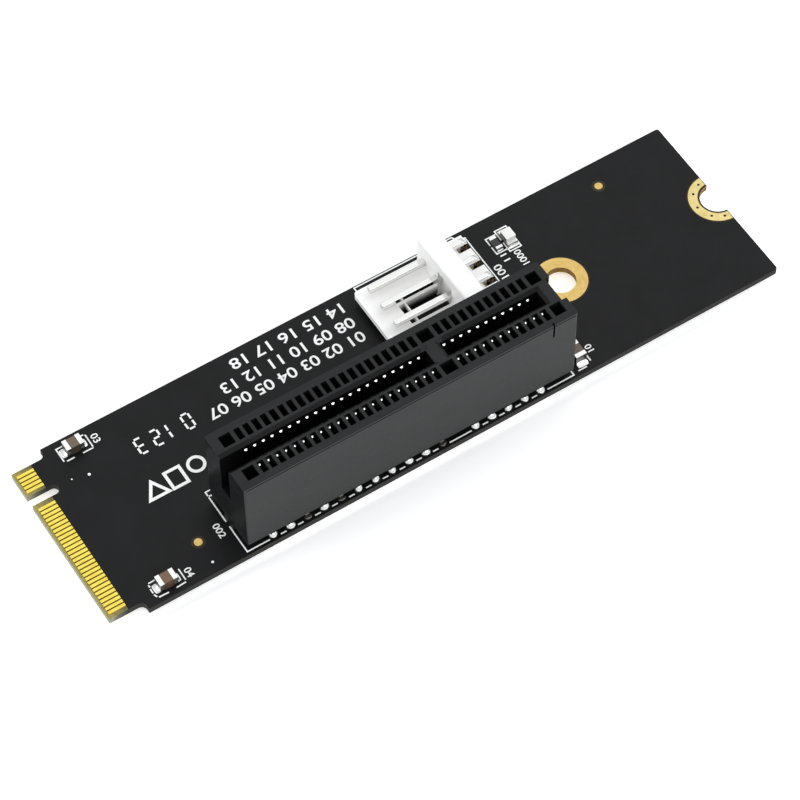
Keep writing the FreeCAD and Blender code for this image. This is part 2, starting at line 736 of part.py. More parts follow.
def make_pin_pads():
    body = new_body("power_pin_pads", "header_x", f"header_y + {FIRST_PIN}")
    ring = new_sketch(body, "pin_pad_ring_outline")
    for radius in (PIN_PAD_RADIUS, PIN_HOLE_RADIUS):
        many_sided(ring, "0", "0", radius, PIN_HOLE_SIDES)
    pattern(body, pad(body, ring, "foil_thickness"), "Y_Axis", PIN_SPAN, "pin_count")
    return body


def make_box(name, length, width, height, z):
    """Box centred over the chip's own origin, its foot at z."""
    box = doc.addObject("Part::Box", name)
    for prop, text in (("Length", length), ("Width", width), ("Height", height),
                       ("Placement.Base.x", f"- ( {length} ) / 2"),
                       ("Placement.Base.y", f"- ( {width} ) / 2"), ("Placement.Base.z", z)):
        bind(box, prop, text)
    return box


def make_group(name, pieces):
    group = doc.addObject("Part::Compound", name)
    group.Label = name
    group.Links = pieces
    return group


def make_cut(name, base, tool):
    cut = doc.addObject("Part::Cut", name)
    cut.Label = name
    cut.Base = base
    cut.Tool = tool
    return cut


def set_on_board(item, x, y, across):
    """Puts a chip piece on the board, its length along Y where it lies across."""
    turn = Rotation(Vector(0, 0, 1), 90 if across else 0)
    item.Placement = Placement(item.Placement.Base, turn)
    bind(item, "Placement.Base.x", x)
    bind(item, "Placement.Base.y", y)


def make_terminals(name, length, width, height, band, core_height):
    """Two plated end caps round a chip body."""
    blank = make_box(f"{name}_blank", length, width, height, "0")
    waist = make_box(f"{name}_waist", f"{length} - 2 * {band}", f"{width} * 2", f"{height} * 3",
                     f"- {height}")
    core = make_box(f"{name}_core", f"{length} - 2 * terminal_plating",
                    f"{width} - 2 * terminal_plating", core_height, "terminal_plating")
    return make_cut(name, make_cut(f"{name}_ends", blank, waist), core)


def make_chip_body(name, length, width, height, z):
    """Plain chip body inside its end caps, wrapped so that it can be placed."""
    return make_group(name, [make_box(f"{name}_block", length, width, height, z)])


def make_capacitor(name, x, y, across):
    inner = "2 * terminal_plating"
    core_height = f"( capacitor_height - {inner} )"
    ceramic = make_chip_body(f"{name}_ceramic", f"capacitor_length - {inner}",
                             f"capacitor_width - {inner}", core_height, "terminal_plating")
    ends = make_terminals(f"{name}_terminals", "capacitor_length", "capacitor_width",
                          "capacitor_height", "capacitor_band", core_height)
    pieces = [ceramic, ends]
    for piece in pieces:
        set_on_board(piece, x, y, across)
    return pieces


def make_resistor():
    inner = "2 * terminal_plating"
    core_height = f"( resistor_height - {inner} )"
    substrate = make_chip_body("resistor_substrate", f"resistor_length - {inner}",
                               f"resistor_width - {inner}", core_height, "terminal_plating")
    ends = make_terminals("resistor_terminals", "resistor_length", "resistor_width",
                          "resistor_height", "resistor_band", core_height)
    coat = make_chip_body("resistor_coat", "resistor_length - 2 * resistor_band",
                          f"resistor_width - {inner}", "resistor_coat",
                          f"{core_height} + terminal_plating")
    pieces = [substrate, ends, coat]
    for piece in pieces:
        set_on_board(piece, "resistor_x", "small_chips_y", True)
    return pieces


def make_diode():
    inner = "2 * terminal_plating"
    core_height = f"( diode_base_height - {inner} )"
    base = make_chip_body("diode_base", f"diode_length - {inner}",
                          f"diode_width - {inner}", core_height, "terminal_plating")
    ends = make_terminals("diode_terminals", "diode_length", "diode_width",
                          "diode_base_height", "diode_band", core_height)
    lens = make_chip_body("diode_lens", "diode_length - 2 * diode_band",
                          f"diode_width - {inner}", "diode_lens_height",
                          f"{core_height} + terminal_plating")
    pieces = [base, ends, lens]
    for piece in pieces:
        set_on_board(piece, "diode_x", "small_chips_y", True)
    return pieces


def build():
    pieces = [make_board()]
    pieces += make_fingers()
    for face in ("top", "bottom"):
        pieces.append(make_screw_pad(f"screw_hole_pad_{face}", face))
        pieces.append(make_end_pad(f"end_notch_pad_{face}", face))
    pieces.append(make_fiducials())
    pieces.append(make_slot_housing())
    pieces += make_contacts()
    pieces.append(make_header_housing())
    pieces.append(make_header_pins())
    pieces.append(make_pin_pads())
    pieces += make_capacitor("rear_capacitor", "edge_capacitor_x", "rear_capacitor_y", False)
    pieces += make_capacitor("front_capacitor", "edge_capacitor_x", "front_capacitor_y", False)
    pieces += make_capacitor("slot_capacitor", "slot_capacitor_x", "slot_capacitor_y", True)
    pieces += make_resistor()
    pieces += make_diode()
    doc.recompute()
    return pieces


def export(pieces):
    for item in doc.Objects:
        if "Invalid" in item.State or "Error" in item.State:
            raise RuntimeError(f"{item.Label} failed: {item.State}")
    for piece in pieces:
        if piece.Shape.isNull() or not piece.Shape.isValid() or not piece.Shape.Solids:
            raise RuntimeError(f"{piece.Label} has no valid solid")
    os.makedirs("parts", exist_ok=True)
    for piece in pieces:
        piece.Shape.exportStep(f"parts/{piece.Label}.step")


export(build())
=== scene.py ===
import math
import random
import bpy
from mathutils import Matrix, Vector


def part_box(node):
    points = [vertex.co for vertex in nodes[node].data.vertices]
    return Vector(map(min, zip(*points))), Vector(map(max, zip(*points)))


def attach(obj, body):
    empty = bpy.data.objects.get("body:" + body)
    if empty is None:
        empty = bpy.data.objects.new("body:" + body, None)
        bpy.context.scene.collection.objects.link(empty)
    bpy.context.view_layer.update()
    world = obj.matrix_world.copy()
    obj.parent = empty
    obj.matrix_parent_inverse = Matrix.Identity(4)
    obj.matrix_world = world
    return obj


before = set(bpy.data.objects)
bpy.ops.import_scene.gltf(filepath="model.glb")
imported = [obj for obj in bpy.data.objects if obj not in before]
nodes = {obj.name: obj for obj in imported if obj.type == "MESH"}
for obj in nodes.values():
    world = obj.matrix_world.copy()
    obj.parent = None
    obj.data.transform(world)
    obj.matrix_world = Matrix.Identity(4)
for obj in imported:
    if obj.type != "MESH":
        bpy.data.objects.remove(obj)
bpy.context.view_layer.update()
rng = random.Random(31)

# Sizes and places are millimetres in the card's own frame; meshes are stored in metres.
# Lamps and the depths of subsurface light are given in metres.
MM = 0.001


def corners(name):
    """Lowest and highest corner of a CAD node."""
    return [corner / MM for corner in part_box(name)]


def middle(name):
    low, high = corners(name)
    return (low + high) / 2


# Places read from the frame
BOARD_LOW, BOARD_HIGH = corners("circuit_board")
FLOOR_Z = corners("power_header_pins")[0].z
FINGER_LOW, FINGER_HIGH = corners("edge_contacts_top_long")
HOLE_X = middle("screw_hole_pad_top").x
NOTCH_X = BOARD_HIGH.x
SLOT_LOW, SLOT_HIGH = corners("slot_housing")
SLOT_X, SLOT_Y = middle("slot_housing").xy

# Slot contacts: a long and a short run with the key bridge between them
CONTACT_PITCH = 1.0
CONTACT_WIDTH = 0.4
LONG_START = corners("slot_contacts_front_outer_long")[0].x + CONTACT_WIDTH / 2
SHORT_START = corners("slot_contacts_front_inner_short")[0].x + CONTACT_WIDTH / 2
LONG_RUN = [LONG_START + CONTACT_PITCH * k for k in range(21)]
SHORT_RUN = [SHORT_START + CONTACT_PITCH * k for k in range(11)]
KEY_X = (LONG_RUN[-1] + SHORT_RUN[0]) / 2

# Ways across the card
TO_TIP, TO_END, TO_FRONT, TO_REAR = (-1, 0), (1, 0), (0, -1), (0, 1)


# Materials

class Look:
    """One procedural material around a single principled shader."""

    def __init__(self, name, **sockets):
        self.material = bpy.data.materials.new(name)
        self.material.use_nodes = True
        self.tree = self.material.node_tree
        self.tree.nodes.clear()
        output = self.add("ShaderNodeOutputMaterial")
        self.shader = self.add("ShaderNodeBsdfPrincipled")
        self.tree.links.new(self.shader.outputs["BSDF"], output.inputs["Surface"])
        spot = self.add("ShaderNodeTexCoord")
        scale = self.add("ShaderNodeVectorMath", operation="SCALE")
        scale.inputs["Scale"].default_value = 1 / MM
        self.tree.links.new(spot.outputs["Object"], scale.inputs[0])
        self.place = scale.outputs["Vector"]
        self.relief = None
        for socket, value in sockets.items():
            self.set(socket.replace("_", " "), value)

    def add(self, kind, **settings):
        node = self.tree.nodes.new(kind)
        for name, value in settings.items():
            setattr(node, name, value)
        return node

    def feed(self, socket, value):
        """Links a socket to another node, or sets its own value."""
        if isinstance(value, bpy.types.NodeSocket):
            self.tree.links.new(value, socket)
        elif hasattr(value, "__len__") and len(socket.default_value) == 4:
            socket.default_value = (*value, 1.0)
        else:
            socket.default_value = value

    def set(self, socket, value):
        self.feed(self.shader.inputs[socket], value)

    def part(self, vector, name):
        split = self.add("ShaderNodeSeparateXYZ")
        self.feed(split.inputs[0], vector)
        return split.outputs[name]

    def axis(self, name):
        """Place along one axis of the card."""
        return self.part(self.place, name)

    def normal(self, name):
        """One part of the way that the surface faces."""
        return self.part(self.add("ShaderNodeNewGeometry").outputs["True Normal"], name)

    def level(self, limit):
        """One where the surface faces up or down, and nought on its sides."""
        return self.over(self.math("ABSOLUTE", self.normal("Z")), limit)

    def facing_tongue(self):
        """One where the surface faces the card's tongue, and nought elsewhere."""
        return self.under(self.normal("X"), -0.8)

    def math(self, operation, *values):
        node = self.add("ShaderNodeMath", operation=operation)
        for socket, value in zip(node.inputs, values):
            self.feed(socket, value)
        return node.outputs[0]

    def both(self, first, second):
        return self.math("MULTIPLY", first, second)

    def either(self, first, second):
        return self.math("MAXIMUM", first, second)

    def over(self, value, limit):
        return self.math("GREATER_THAN", value, limit)

    def under(self, value, limit):
        return self.math("LESS_THAN", value, limit)

    def near(self, value, spot, reach):
        """One where a value lies within reach of a spot."""
        return self.math("COMPARE", value, spot, reach)

    def between(self, fac, start, stop):
        """Value that runs from start to stop as a factor runs from nought to one."""
        return self.math("MULTIPLY_ADD", fac, stop - start, start)

    def share(self, value, start, stop):
        """How far a value has come from start to stop, kept from nought to one."""
        node = self.add("ShaderNodeMapRange")
        self.feed(node.inputs["Value"], value)
        node.inputs["From Min"].default_value = start
        node.inputs["From Max"].default_value = stop
        return node.outputs["Result"]

    def from_axis(self, x, y):
        """Distance from an upright axis."""
        gap = self.add("ShaderNodeVectorMath", operation="DISTANCE")
        self.feed(gap.inputs[0], self.stretched((1, 1, 0)))
        gap.inputs[1].default_value = (x, y, 0)
        return gap.outputs["Value"]

    def stretched(self, stretch):
        node = self.add("ShaderNodeVectorMath", operation="MULTIPLY")
        self.feed(node.inputs[0], self.place)
        node.inputs[1].default_value = stretch
        return node.outputs[0]

    def noise(self, scale, detail=2.0, rough=0.5, stretch=None, twist=0.0):
        node = self.add("ShaderNodeTexNoise")
        self.feed(node.inputs["Vector"], self.stretched(stretch) if stretch else self.place)
        for name, value in (("Scale", scale), ("Detail", detail), ("Roughness", rough),
                            ("Distortion", twist)):
            node.inputs[name].default_value = value
        return node.outputs["Fac"]

    def ramp(self, fac, *stops):
        """Colours or values at chosen places along a factor."""
        node = self.add("ShaderNodeValToRGB")
        self.feed(node.inputs["Fac"], fac)
        points = node.color_ramp.elements
        while len(points) < len(stops):
            points.new(0.5)
        for point, (place, colour) in zip(points, stops):
            point.position = place
            point.color = (*colour, 1.0) if hasattr(colour, "__len__") else (colour,) * 3 + (1.0,)
        return node.outputs["Color"]

    def blend(self, fac, first, second):
        node = self.add("ShaderNodeMix", data_type="RGBA")
        self.feed(node.inputs[0], fac)
        self.feed(node.inputs[6], first)
        self.feed(node.inputs[7], second)
        return node.outputs[2]

    def bump(self, height, depth, strength):
        """Fine relief of that depth, added to any relief before it."""
        node = self.add("ShaderNodeBump")
        node.inputs["Strength"].default_value = strength
        node.inputs["Distance"].default_value = depth * MM
        self.feed(node.inputs["Height"], height)
        if self.relief is not None:
            self.feed(node.inputs["Normal"], self.relief)
        self.relief = node.outputs[0]
        self.set("Normal", self.relief)


HOLE_RADIUS, NOTCH_RADIUS = 1.65, 1.85
WALL_REACH = 0.07
FINGER_LEAD = 0.02


def row_span(name):
    """Middle and half width across the board of a row of edge contacts."""
    low, high = corners(name)
    return (low.y + high.y) / 2, (high.y - low.y) / 2


def board_look():
    """Black solder mask, bare laminate on the tongue, layered cut edges and plated round walls."""
    look = Look("solder_mask_board", Specular_IOR_Level=0.19)
    x, y = look.axis("X"), look.axis("Y")
    flat = look.level(0.5)
    upright = look.math("SUBTRACT", 1.0, flat)
    mask = look.ramp(look.noise(0.22, 4, 0.6), (0.34, (0.0034, 0.0035, 0.0040)),
                     (0.68, (0.0062, 0.0063, 0.0071)))
    gaps = look.ramp(look.noise(5.0, 3), (0.3, (0.030, 0.022, 0.005)), (0.7, (0.075, 0.055, 0.014)))
    tip = look.ramp(look.noise(4.0, 3), (0.3, (0.23, 0.235, 0.165)), (0.7, (0.41, 0.42, 0.32)))
    margin = look.ramp(look.noise(3.0, 3), (0.3, (0.235, 0.19, 0.050)), (0.7, (0.35, 0.30, 0.11)))
    layers = look.noise(2.2, 4, 0.65, stretch=(0.35, 0.35, 5.0))
    edge = look.ramp(layers, (0.3, (0.007, 0.007, 0.007)), (0.72, (0.029, 0.028, 0.027)))
    plating = look.ramp(look.noise(4.0, 3), (0.3, (0.16, 0.095, 0.03)), (0.7, (0.42, 0.27, 0.09)))

    # Laminate is pale at the tongue's tip, and darker towards the mask and between the contacts
    from_tip = look.share(x, 0.0, FINGER_HIGH.x)
    edge_pale = look.ramp(from_tip, (0.08, 1.0), (0.5, 0.30), (1.0, 0.03))
    face_pale = look.ramp(from_tip, (0.14, 1.0), (0.6, 0.62), (1.0, 0.30))
    margin = look.blend(face_pale, (0.045, 0.040, 0.022), margin)
    in_row = look.either(look.near(y, *row_span("edge_contacts_top_long")),
                         look.near(y, *row_span("edge_contacts_top_short")))
    beside_fingers = look.both(in_row, look.over(x, FINGER_LOW.x - FINGER_LEAD))
    bare = look.blend(beside_fingers, margin, gaps)
    face = look.blend(look.under(x, FINGER_HIGH.x), mask, bare)

    hole_wall = look.under(look.from_axis(HOLE_X, 0), HOLE_RADIUS + WALL_REACH)
    notch_wall = look.under(look.from_axis(NOTCH_X, 0), NOTCH_RADIUS + WALL_REACH)
    plated = look.both(look.either(hole_wall, notch_wall), upright)
    colour = look.blend(flat, look.blend(edge_pale, edge, tip), face)
    look.set("Base Color", look.blend(plated, colour, plating))
    look.set("Metallic", plated)
    gloss = look.between(look.noise(0.9, 3), 0.34, 0.50)
    look.set("Roughness", look.math("MULTIPLY_ADD", upright, 0.3, gloss))
    look.bump(look.noise(2.6, 3, 0.55), 0.006, 0.5)
    look.bump(look.noise(9.0, 2), 0.002, 0.35)
    return look.material


def gold_look(name, dark, light, rough):
    """Plated gold, faintly clouded and grained along the card."""
    look = Look(name, Metallic=1.0)
    look.set("Base Color", look.ramp(look.noise(1.3, 4, 0.6), (0.3, dark), (0.7, light)))
    grain = look.noise(7.0, 3, 0.6, stretch=(0.4, 2.5, 1.0))
    look.set("Roughness", look.between(grain, rough, rough + 0.18))
    look.bump(look.noise(12.0, 2), 0.0025, 0.5)
    return look.material


# Painted shade inside the slot's card gap: heights of the lead-in, and half sizes of the key bridge
# and the whole
LEAD_IN_TOP = SLOT_HIGH.z - 0.05
LEAD_IN_FOOT = SLOT_HIGH.z - 0.42
KEY_HALF = 1.25
CAVITY_ASIDE = 2.94
SLOT_INSIDE = SLOT_HIGH.x - SLOT_X - 0.08


def slot_look():
    """Dark moulded thermoplastic with a fine eroded grain, and painted shade inside the card gap,
    where its colour and sheen are turned down.
    """
    look = Look("slot_thermoplastic")
    x, y, z = look.axis("X"), look.axis("Y"), look.axis("Z")
    # Painted shade: full below the lead-in, partial within it, and none on the lead-in at the key
    # bridge
    lead_in = look.between(look.near(x, KEY_X, KEY_HALF), 0.6, 0.0)
    lead_in = look.both(lead_in, look.under(z, LEAD_IN_TOP))
    depth = look.either(lead_in, look.under(z, LEAD_IN_FOOT))
    painted_gap_shade = look.both(look.near(y, SLOT_Y, CAVITY_ASIDE), depth)
    painted_gap_shade = look.both(painted_gap_shade, look.near(x, SLOT_X, SLOT_INSIDE))
    flow = look.noise(0.5, 4, 0.6, stretch=(0.35, 1.0, 1.0), twist=0.6)
    skin = look.ramp(flow, (0.3, (0.0105, 0.011, 0.0116)), (0.72, (0.0150, 0.0155, 0.0162)))
    shade = look.ramp(flow, (0.3, (0.003, 0.003, 0.0035)), (0.72, (0.006, 0.006, 0.0065)))
    look.set("Base Color", look.blend(painted_gap_shade, skin, shade))
    # Painted shade in the reflection: the sheen is turned down inside the card gap and on the faces
    # towards the tongue
    dull = look.either(painted_gap_shade, look.facing_tongue())
    look.set("Specular IOR Level", look.between(dull, 0.205, 0.035))
    look.set("Roughness", look.between(look.noise(3.0, 3), 0.26, 0.46))
    look.bump(look.noise(14.0, 3, 0.6), 0.004, 0.5)
    look.bump(look.noise(1.2, 2), 0.008, 0.3)
    return look.material


# Latch window in the header's base: middle and half size, and the heights where its walls darken
WINDOW_X, WINDOW_Y = (45.7, 2.42), (4.04, 1.33)
WINDOW_BRIGHT_Z, WINDOW_DARK_Z = 1.6, 0.8


def header_look():
    """White nylon, with walls of the latch window that lose the light downwards."""
    look = Look("header_nylon", Subsurface_Weight=0.12, Subsurface_Scale=0.0006)
    look.set("Subsurface Radius", (1.0, 0.95, 0.85))
    flow = look.noise(0.6, 3, 0.55, stretch=(0.4, 1.0, 1.0))
    nylon = look.ramp(flow, (0.3, (0.935, 0.935, 0.92)), (0.7, (0.975, 0.975, 0.965)))
    window = look.both(look.near(look.axis("X"), *WINDOW_X), look.near(look.axis("Y"), *WINDOW_Y))
    fall = look.share(look.axis("Z"), WINDOW_BRIGHT_Z, WINDOW_DARK_Z)
    depth = look.ramp(fall, (0.0, 0.0), (1.0, 0.95))
    look.set("Base Color", look.blend(look.both(window, depth), nylon, (0.02, 0.02, 0.02)))
    look.set("Roughness", look.between(look.noise(2.5, 3), 0.36, 0.52))
    look.bump(look.noise(10.0, 3), 0.003, 0.4)
    return look.material


def metal_look(name, dark, light, rough, scale):
    """Bright tin or solder with a slightly uneven surface."""
    look = Look(name, Metallic=1.0)
    look.set("Base Color", look.ramp(look.noise(scale, 4, 0.6), (0.3, dark), (0.7, light)))
    look.set("Roughness", look.between(look.noise(scale * 2, 3), rough, rough + 0.2))
    look.bump(look.noise(scale * 2.5, 3), 0.006, 0.45)
    return look.material


SHADE_START_Z = 2.4


def contact_look():
    """Plated spring alloy, darkened by painted shade inside the housing, above the tails."""
    look = Look("contact_plating", Metallic=1.0)
    cloud = look.noise(3.0, 4, 0.6)
    tail = look.ramp(cloud, (0.3, (0.24, 0.225, 0.19)), (0.7, (0.42, 0.40, 0.35)))
    spring = look.ramp(cloud, (0.3, (0.16, 0.14, 0.10)), (0.7, (0.27, 0.24, 0.18)))
    # Painted shade: above the start height the contacts take the darker colour
    look.set("Base Color", look.blend(look.over(look.axis("Z"), SHADE_START_Z), tail, spring))
    look.set("Roughness", look.between(look.noise(6.0, 3), 0.16, 0.36))
    look.bump(look.noise(7.5, 3), 0.006, 0.45)
    return look.material


# Stretches of the header pins darkened with painted dark reflection on the rear legs and painted
# shade along the lower edges at the free ends
LEG_START_X = 52.3
LEG_MIDDLE_Z, LEG_HALF_Z = 1.3, 1.35
FREE_END_X = 48.1
LOWER_EDGE_Z = 2.70


def pin_look():
    """Bright tin on square wire, with painted dark reflection on the rear legs and painted shade
    along the lower edges.
    """
    look = Look("pin_tin", Metallic=1.0)
    x, z = look.axis("X"), look.axis("Z")
    leg = look.both(look.over(x, LEG_START_X), look.near(z, LEG_MIDDLE_Z, LEG_HALF_Z))
    lower_edge = look.both(look.under(x, FREE_END_X), look.under(z, LOWER_EDGE_Z))
    tin = look.ramp(look.noise(2.0, 4, 0.6, stretch=(0.3, 1.5, 1.5)), (0.3, (0.74, 0.74, 0.725)),
                    (0.7, (0.82, 0.82, 0.81)))
    # Painted dark reflection on the rear legs and painted shade along the lower edges
    painted_dark = look.ramp(look.noise(2.6, 4, 0.65), (0.36, (0.030, 0.018, 0.012)),
                      (0.66, (0.24, 0.16, 0.10)))
    look.set("Base Color", look.blend(look.either(leg, lower_edge), tin, painted_dark))
    look.set("Roughness", look.between(look.noise(4.0, 3), 0.06, 0.18))
    look.bump(look.noise(5.0, 3), 0.003, 0.4)
    return look.material


def terminal_look():
    """Matt tin of the chip ends, bright on top and darker on the sides with painted shade."""
    look = Look("terminal_tin", Metallic=1.0)
    cloud = look.noise(5.0, 4, 0.6)
    top = look.ramp(cloud, (0.3, (0.82, 0.82, 0.81)), (0.7, (0.95, 0.95, 0.94)))
    side = look.ramp(cloud, (0.3, (0.11, 0.108, 0.102)), (0.7, (0.26, 0.255, 0.24)))
    # Painted light: a lit copy of the tin on the tops and a shaded copy on the sides
    look.set("Base Color", look.blend(look.level(0.6), side, top))
    look.set("Roughness", look.between(look.noise(10.0, 3), 0.24, 0.44))
    look.bump(look.noise(12.5, 3), 0.006, 0.45)
    return look.material


def ceramic_look():
    """Fired ceramic, browner on the capacitor at the front of the tongue and darker on the sides."""
    look = Look("capacitor_ceramic", Specular_IOR_Level=0.4)
    speck = look.noise(9.0, 4, 0.7)
    grey = look.ramp(speck, (0.32, (0.085, 0.060, 0.042)), (0.68, (0.185, 0.142, 0.102)))
    brown = look.ramp(speck, (0.32, (0.115, 0.060, 0.032)), (0.68, (0.225, 0.130, 0.078)))
    front_chip = look.both(look.under(look.axis("Y"), 0.0), look.under(look.axis("X"), SLOT_LOW.x))
    side_shade = look.between(look.level(0.6), 0.55, 0.0)
    body = look.blend(front_chip, grey, brown)
    look.set("Base Color", look.blend(side_shade, body, (0.012, 0.009, 0.007)))
    look.set("Roughness", look.between(look.noise(5.0, 3), 0.4, 0.6))
    look.bump(look.noise(16.0, 3), 0.004, 0.5)
    return look.material


def white_chip_look():
    """White alumina, with painted shade on the sides that face the tongue."""
    look = Look("alumina_white")
    body = look.ramp(look.noise(8.0, 4, 0.65), (0.3, (0.84, 0.84, 0.82)), (0.7, (0.93, 0.93, 0.92)))
    # Painted shade on the sides that face the tongue
    look.set("Base Color", look.blend(look.facing_tongue(), body, (0.10, 0.097, 0.09)))
    look.set("Roughness", look.between(look.noise(6.0, 2), 0.45, 0.65))
    look.bump(look.noise(20.0, 3), 0.003, 0.4)
    return look.material


def glaze_look():
    """Black glaze over the resistor's track."""
    look = Look("resistor_glaze", Specular_IOR_Level=0.5)
    look.set("Base Color", look.ramp(look.noise(7.0, 3), (0.3, (0.010, 0.010, 0.012)),
                                     (0.7, (0.022, 0.022, 0.026))))
    look.set("Roughness", look.between(look.noise(9.0, 2), 0.22, 0.37))
    look.bump(look.noise(11.0, 2), 0.004, 0.4)
    return look.material


def lens_look():
    """Milky resin of the diode, shaded on the side that faces the tongue."""
    look = Look("diode_resin", Subsurface_Weight=0.35, Subsurface_Scale=0.0005, Coat_Weight=0.3)
    look.set("Subsurface Radius", (1.0, 1.0, 0.9))
    resin = look.ramp(look.noise(3.0, 3), (0.3, (0.74, 0.75, 0.73)), (0.7, (0.84, 0.84, 0.82)))
    look.set("Base Color", look.blend(look.facing_tongue(), resin, (0.20, 0.20, 0.19)))
    look.set("Roughness", look.between(look.noise(6.0, 2), 0.2, 0.32))
    look.bump(look.noise(4.0, 2), 0.004, 0.4)
    return look.material


def ink_look():
    """White board print with thin spots."""
    look = Look("print_ink", Specular_IOR_Level=0.3)
    look.set("Base Color", look.ramp(look.noise(6.0, 4, 0.7), (0.28, (0.74, 0.75, 0.75)),
                                     (0.6, (0.90, 0.91, 0.90))))
    look.set("Roughness", look.between(look.noise(8.0, 3), 0.5, 0.7))
    look.bump(look.noise(10.0, 3), 0.006, 0.5)
    return look.material


def rim_look():
    """Bare brownish laminate seen in the mask openings."""
    look = Look("bare_laminate", Specular_IOR_Level=0.3)
    look.set("Base Color", look.ramp(look.noise(7.0, 3), (0.3, (0.014, 0.010, 0.005)),
                                     (0.7, (0.036, 0.026, 0.012))))
    look.set("Roughness", look.between(look.noise(5.0, 2), 0.5, 0.7))
    return look.material


# The floor's glow reaches this far from the card's middle and fades over the last millimetre
GLOW_X, GLOW_Y = 42.0, 11.6
GLOW_FADE = 1.0


def floor_look():
    """Pale studio floor that glows faintly, and a little more under the card."""
    look = Look("studio_floor", Specular_IOR_Level=0.1)
    along = look.math("ABSOLUTE", look.math("SUBTRACT", look.axis("X"), BOARD_HIGH.x / 2))
    across = look.math("ABSOLUTE", look.axis("Y"))
    under_card = look.both(look.share(along, GLOW_X, GLOW_X - GLOW_FADE),
                           look.share(across, GLOW_Y, GLOW_Y - GLOW_FADE))
    look.set("Emission Color", (1.0, 1.0, 1.0))
    look.set("Emission Strength", look.between(under_card, 0.11, 0.51))
    look.set("Base Color", look.ramp(look.noise(0.01, 2), (0.3, (0.945, 0.945, 0.945)),
                                     (0.7, (0.96, 0.96, 0.96))))
    look.set("Roughness", look.between(look.noise(0.02, 2), 0.75, 0.85))
    return look.material


BOARD = board_look()
FINGER_GOLD = gold_look("finger_gold", (0.80, 0.60, 0.075), (0.92, 0.76, 0.14), 0.2)
PAD_GOLD = gold_look("pad_gold", (0.60, 0.395, 0.115), (0.74, 0.54, 0.205), 0.24)
NOTCH_GOLD = gold_look("notch_gold", (0.65, 0.50, 0.18), (0.80, 0.69, 0.32), 0.24)
POWER_GOLD = gold_look("power_pad_gold", (0.78, 0.69, 0.30), (0.88, 0.82, 0.45), 0.24)
SLOT_PLASTIC = slot_look()
TIP_METAL = metal_look("contact_tip", (0.88, 0.87, 0.84), (0.97, 0.96, 0.95), 0.1, 3.0)
CONTACT_METAL = contact_look()
HEADER_PLASTIC = header_look()
PIN_TIN = pin_look()
TERMINAL_TIN = terminal_look()
SOLDER = metal_look("solder", (0.76, 0.76, 0.75), (0.94, 0.94, 0.94), 0.14, 2.5)
DULL_SOLDER = metal_look("dull_solder", (0.07, 0.066, 0.06), (0.17, 0.16, 0.145), 0.3, 2.5)
CERAMIC = ceramic_look()
WHITE_CHIP = white_chip_look()
GLAZE = glaze_look()
LENS = lens_look()
INK = ink_look()
RIM = rim_look()

# Finish of each CAD node, by how its name starts
NODE_LOOKS = {
    "circuit_board": BOARD,
    "edge_contacts": FINGER_GOLD,
    "screw_hole_pad": PAD_GOLD,
    "end_notch_pad": NOTCH_GOLD,
    "fiducial_marks": PAD_GOLD,
    "slot_housing": SLOT_PLASTIC,
    "slot_contacts": CONTACT_METAL,
    "power_header_housing": HEADER_PLASTIC,
    "power_header_pins": PIN_TIN,
    "power_pin_pads": POWER_GOLD,
    "rear_capacitor_ceramic": CERAMIC,
    "front_capacitor_ceramic": CERAMIC,
    "slot_capacitor_ceramic": CERAMIC,
    "rear_capacitor_terminals": TERMINAL_TIN,
    "front_capacitor_terminals": TERMINAL_TIN,
    "slot_capacitor_terminals": TERMINAL_TIN,
    "resistor_terminals": TERMINAL_TIN,
    "diode_terminals": TERMINAL_TIN,
    "resistor_substrate": WHITE_CHIP,
    "diode_base": WHITE_CHIP,
    "resistor_coat": GLAZE,
    "diode_lens": LENS,
}
for name, node in nodes.items():
    look = next(material for start, material in NODE_LOOKS.items() if name.startswith(start))
    for place in node.material_slots:
        place.material = look

# Softened edges: how far each moulded or plated edge is rounded
EDGE_ROUNDS = {
    "power_header_housing": 0.05,
    "power_header_pins": 0.05,
    "rear_capacitor_terminals": 0.06,
    "front_capacitor_terminals": 0.06,
    "slot_capacitor_terminals": 0.06,
    "resistor_terminals": 0.03,
    "diode_terminals": 0.03,
    "diode_lens": 0.06,
}
WELD_REACH = 0.001
ROUND_ANGLE = math.radians(35)
for name, width in EDGE_ROUNDS.items():
    weld = nodes[name].modifiers.new("join", "WELD")
    weld.merge_threshold = WELD_REACH * MM
    bevel = nodes[name].modifiers.new("soft_edges", "BEVEL")
    bevel.width = width * MM
    bevel.segments = 2
    bevel.limit_method = "ANGLE"
    bevel.angle_limit = ROUND_ANGLE


# Mesh pieces

SHARP_ANGLE = math.radians(50)
MITRE_LIMIT = 0.35
FILLET_TOE, FILLET_RIM = 0.03, 0.012
FILLET_FALL = 2.2
FILLET_NARROWING, FILLET_ROUNDING = 0.12, 0.1
FILLET_SIDE_DROP, FILLET_SIDE_POWER = 0.75, 5


